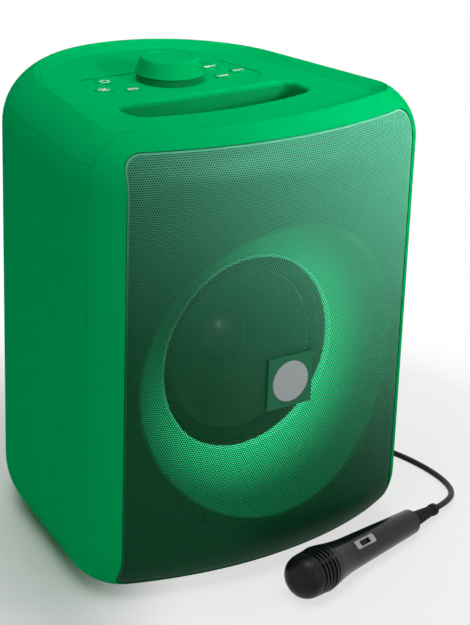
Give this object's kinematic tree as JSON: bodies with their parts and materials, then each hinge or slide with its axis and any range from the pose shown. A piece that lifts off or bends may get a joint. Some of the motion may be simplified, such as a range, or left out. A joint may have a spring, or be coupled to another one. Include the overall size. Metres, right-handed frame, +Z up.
{
  "type": "karaoke party speaker",
  "caption": "Round-backed upright karaoke speaker with a perforated curved front, lit dish, top handle slot, control knob with keys, and a wired hand microphone.",
  "frame": {"origin": "centre of the cabinet's footprint, on the surface that it stands on", "axes": "+Z up, +Y from the grille to the round back, +X to the right of someone who faces the grille"},
  "size_m": [0.4023, 0.5309, 0.408],
  "materials": {
    "shell_green": "satin moulded ABS",
    "grille_green": "perforated steel, painted",
    "panel_green": "satin moulded ABS",
    "dish_green": "glossy reflector",
    "diffuser_white": "milky light guide",
    "knob_green": "semi-gloss",
    "dark_plastic": "dark satin",
    "badge_grey": "pale gloss",
    "black_plastic": "satin black",
    "black_gloss": "glossy black",
    "mic_grille": "black lacquer",
    "switch_grey": "pale grey",
    "cone_grey": "pressed pulp and resin",
    "soft_rubber": "soft matt",
    "cord_black": "soft PVC",
    "tie_white": "woven tape",
    "wood_board": "fibreboard",
    "steel": "zinc plated",
    "nickel": "nickel plated",
    "ferrite": "sintered",
    "coil_metal": "wound",
    "cloth": "resin-set cloth",
    "circuit": "solder mask",
    "battery_blue": "shrink wrap"
  },
  "bodies": {
    "cabinet": {"front_frame": "shell_green", "rear_shell": "shell_green", "base_pan": "shell_green", "top_cover": "shell_green", "handle_cup": "panel_green", "control_panel": "shell_green", "badge_plate": "shell_green", "badge_disc": "badge_grey", "front_grille": "grille_green", "front_panel": "panel_green", "light_dish": "dish_green", "light_diffuser": "diffuser_white", "light_ring": "circuit", "knob_plinth": "dark_plastic", "knob_encoder": "steel", "button_board": "circuit", "rubber_feet": "soft_rubber", "base_screws": "steel", "speaker_board": "wood_board", "woofer_basket": "steel", "woofer_magnet": "ferrite", "woofer_surround": "soft_rubber", "woofer_screws": "steel", "woofer_spider": "cloth", "rear_panel": "black_plastic", "mic_jack": "black_plastic", "instrument_jack": "black_plastic", "aux_jack": "black_plastic", "usb_port": "steel", "charge_port": "steel", "main_board": "circuit", "board_parts": "coil_metal", "battery_pack": "battery_blue", "rocker_bezel": "black_plastic", "bass_port": "black_plastic", "mic_head": "mic_grille", "mic_capsule": "black_plastic", "mic_collar": "black_gloss", "mic_handle": "black_gloss", "mic_switch_plate": "switch_grey", "mic_relief": "soft_rubber", "mic_cord": "cord_black", "mic_cord_lead": "cord_black", "mic_cord_coil": "cord_black", "mic_cord_tie": "tie_white", "mic_plug_pin": "nickel", "mic_plug_body": "black_plastic"},
    "knob": {"volume_knob": "knob_green", "encoder_shaft": "steel"},
    "power_button": {"power_button": "shell_green"},
    "light_button": {"light_button": "shell_green"},
    "source_button": {"source_button": "shell_green"},
    "mic_button": {"mic_button": "shell_green"},
    "next_button": {"next_button": "shell_green"},
    "back_button": {"back_button": "shell_green"},
    "rocker": {"power_rocker": "black_gloss"},
    "cone": {"woofer_cone": "cone_grey", "dust_cap": "cone_grey", "voice_coil": "coil_metal"},
    "mic_slider": {"mic_switch": "black_plastic"}
  },
  "joints": [
    {"name": "knob_turn", "type": "hinge", "parent": "cabinet", "child": "knob", "pos_m": [0, 0.0235, 0.3874], "axis": [0, 0, 1], "continuous": true},
    {"name": "power_press", "type": "slide", "parent": "cabinet", "child": "power_button", "axis": [0, 0, -1], "range_m": [0, 0.001], "stiffness_N_per_m": 400},
    {"name": "light_press", "type": "slide", "parent": "cabinet", "child": "light_button", "axis": [0, 0, -1], "range_m": [0, 0.001], "stiffness_N_per_m": 400},
    {"name": "source_press", "type": "slide", "parent": "cabinet", "child": "source_button", "axis": [0, 0, -1], "range_m": [0, 0.001], "stiffness_N_per_m": 400},
    {"name": "mic_press", "type": "slide", "parent": "cabinet", "child": "mic_button", "axis": [0, 0, -1], "range_m": [0, 0.001], "stiffness_N_per_m": 400},
    {"name": "next_press", "type": "slide", "parent": "cabinet", "child": "next_button", "axis": [0, 0, -1], "range_m": [0, 0.001], "stiffness_N_per_m": 400},
    {"name": "back_press", "type": "slide", "parent": "cabinet", "child": "back_button", "axis": [0, 0, -1], "range_m": [0, 0.001], "stiffness_N_per_m": 400},
    {"name": "rocker_tilt", "type": "hinge", "parent": "cabinet", "child": "rocker", "pos_m": [0, 0.1435, 0.128], "axis": [0, 0, 1], "range_deg": [0, 16]},
    {"name": "cone_move", "type": "slide", "parent": "cabinet", "child": "cone", "axis": [0, 1, 0], "range_m": [-0.003, 0.003], "stiffness_N_per_m": 1500, "deforming": ["woofer_surround", "woofer_spider"]},
    {"name": "mic_switch_slide", "type": "slide", "parent": "cabinet", "child": "mic_slider", "axis": [0.9594, 0.2751, -0.0614], "range_m": [0, 0.006]}
  ]
}
